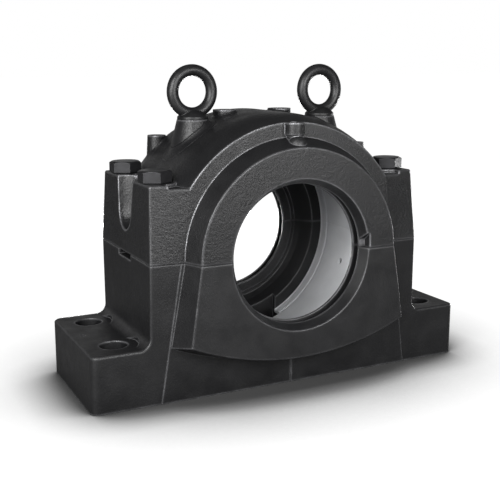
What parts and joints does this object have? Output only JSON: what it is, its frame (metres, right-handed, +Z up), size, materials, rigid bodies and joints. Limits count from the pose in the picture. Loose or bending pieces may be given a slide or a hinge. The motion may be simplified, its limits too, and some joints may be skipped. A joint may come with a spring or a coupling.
{
  "type": "split plummer block housing",
  "caption": "Split plummer block housing: footed cast base and domed cap bolted together round an empty bearing seat, with stepped seal bores, lifting eyes and screw plugs.",
  "frame": {"origin": "bottom centre of the base, on the mounting face, midway between the feet and between the two seal bosses", "axes": "+X along the feet, +Y to the rear along the shaft axis, +Z up; the shaft axis is 170 mm above the origin"},
  "size_m": [0.51, 0.253, 0.4011],
  "materials": {
    "casting": "semi-matt black paint over cast skin",
    "fastener": "satin black",
    "plug": "blackened steel",
    "dowel": "ground steel"
  },
  "bodies": {
    "root": {"housing_base": "casting", "housing_cap": "casting", "cap_bolt_front_left": "fastener", "cap_bolt_front_right": "fastener", "cap_bolt_rear_left": "fastener", "cap_bolt_rear_right": "fastener", "eye_bolt_left": "fastener", "eye_bolt_right": "fastener", "lubrication_plug_left": "plug", "lubrication_plug_right": "plug", "shoulder_plug_left": "plug", "shoulder_plug_right": "plug", "seal_plug_front": "plug", "seal_plug_rear": "plug", "sensor_plug": "plug", "drain_plug": "plug", "dowel_pin_left": "dowel", "dowel_pin_right": "dowel"}
  },
  "joints": []
}
